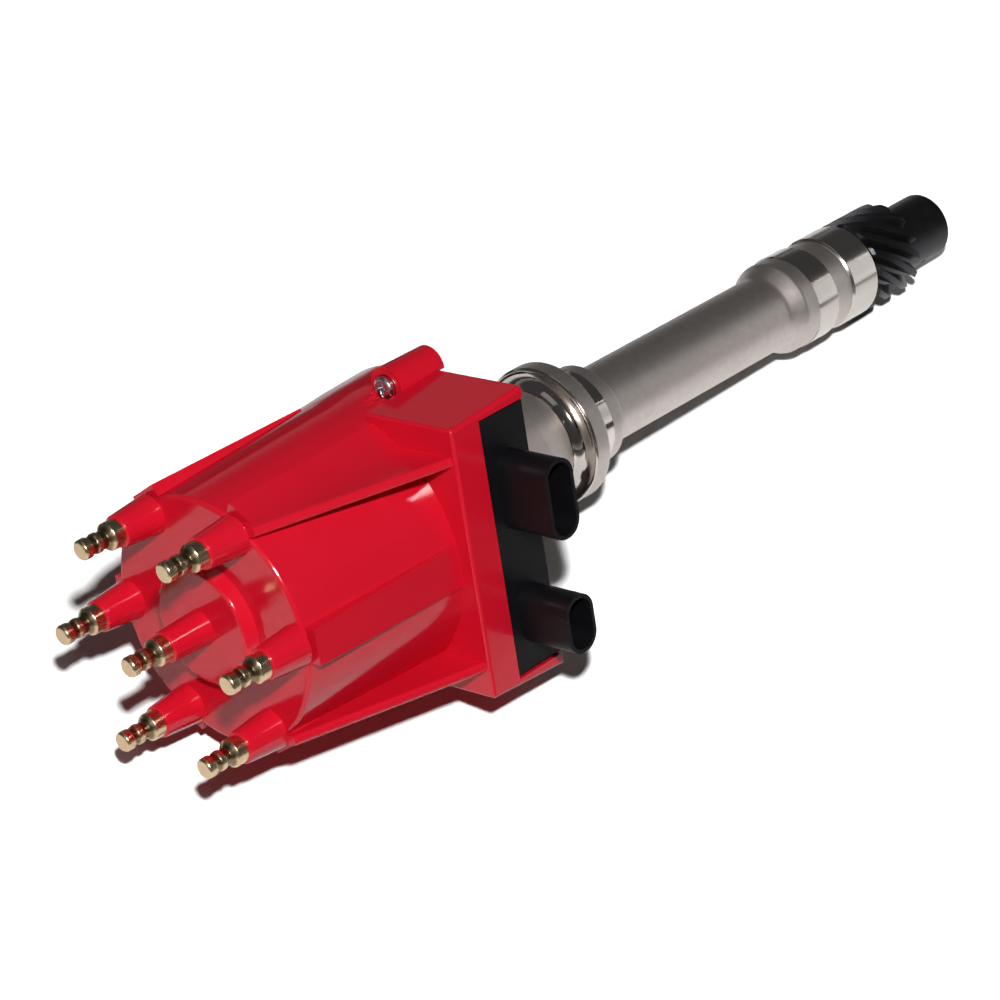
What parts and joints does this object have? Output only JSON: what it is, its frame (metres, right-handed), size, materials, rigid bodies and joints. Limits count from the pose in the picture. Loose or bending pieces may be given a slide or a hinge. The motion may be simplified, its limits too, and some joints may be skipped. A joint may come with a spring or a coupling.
{
  "type": "ignition distributor",
  "caption": "Ignition distributor: red moulded cap with brass posts, plug-in module, cast housing with mounting collar, turning rotor shaft and helical drive gear.",
  "frame": {"origin": "on the shaft's axis, at the underside of the mounting collar, where the housing seats on the engine", "axes": "+Z along the shaft towards the cap, -Y towards the module's two sockets, +X towards the wide socket's side"},
  "size_m": [0.1018, 0.1104, 0.3846],
  "materials": {
    "cap_plastic": "glossy moulded",
    "brass": "polished, turned",
    "carbon": "matt",
    "spring_steel": "drawn wire",
    "zinc_plate": "bright plated",
    "cast_aluminium": "satin casting with machined bands",
    "bronze": "sintered",
    "steel": "ground",
    "black_oxide_steel": "black oxide, satin",
    "sintered_iron": "satin",
    "magnet": "matt",
    "coil_bobbin": "moulded bobbin",
    "rotor_plastic": "moulded",
    "module_plastic": "satin moulded",
    "sink_aluminium": "flat plate",
    "tin_plate": "plated"
  },
  "bodies": {
    "body": {"cap": "cap_plastic", "post_1": "brass", "post_2": "brass", "post_3": "brass", "post_4": "brass", "post_5": "brass", "post_6": "brass", "centre_post": "brass", "brush_spring": "spring_steel", "cap_screw_right": "zinc_plate", "cap_screw_left": "zinc_plate", "housing": "cast_aluminium", "upper_bushing": "bronze", "lower_bushing": "bronze", "shim_washer": "steel", "pole_piece": "sintered_iron", "ring_magnet": "magnet", "pickup_coil": "coil_bobbin", "pickup_clip": "spring_steel", "module": "module_plastic", "heat_sink": "sink_aluminium", "module_screws": "zinc_plate", "wide_socket_pins": "tin_plate", "narrow_socket_pins": "tin_plate"},
    "rotating": {"shaft": "steel", "drive_gear": "black_oxide_steel", "roll_pin": "black_oxide_steel", "reluctor": "sintered_iron", "rotor": "rotor_plastic", "rotor_blade": "brass"},
    "brush": {"brush": "carbon"}
  },
  "joints": [
    {"name": "shaft_spin", "type": "hinge", "parent": "body", "child": "rotating", "pos_m": [0, 0, 0], "axis": [0, 0, 1], "continuous": true},
    {"name": "brush_slide", "type": "slide", "parent": "body", "child": "brush", "axis": [0, 0, 1], "range_m": [0, 0.0025], "stiffness_N_per_m": 60, "springref_m": -0.006, "deforming": ["brush_spring"]}
  ]
}
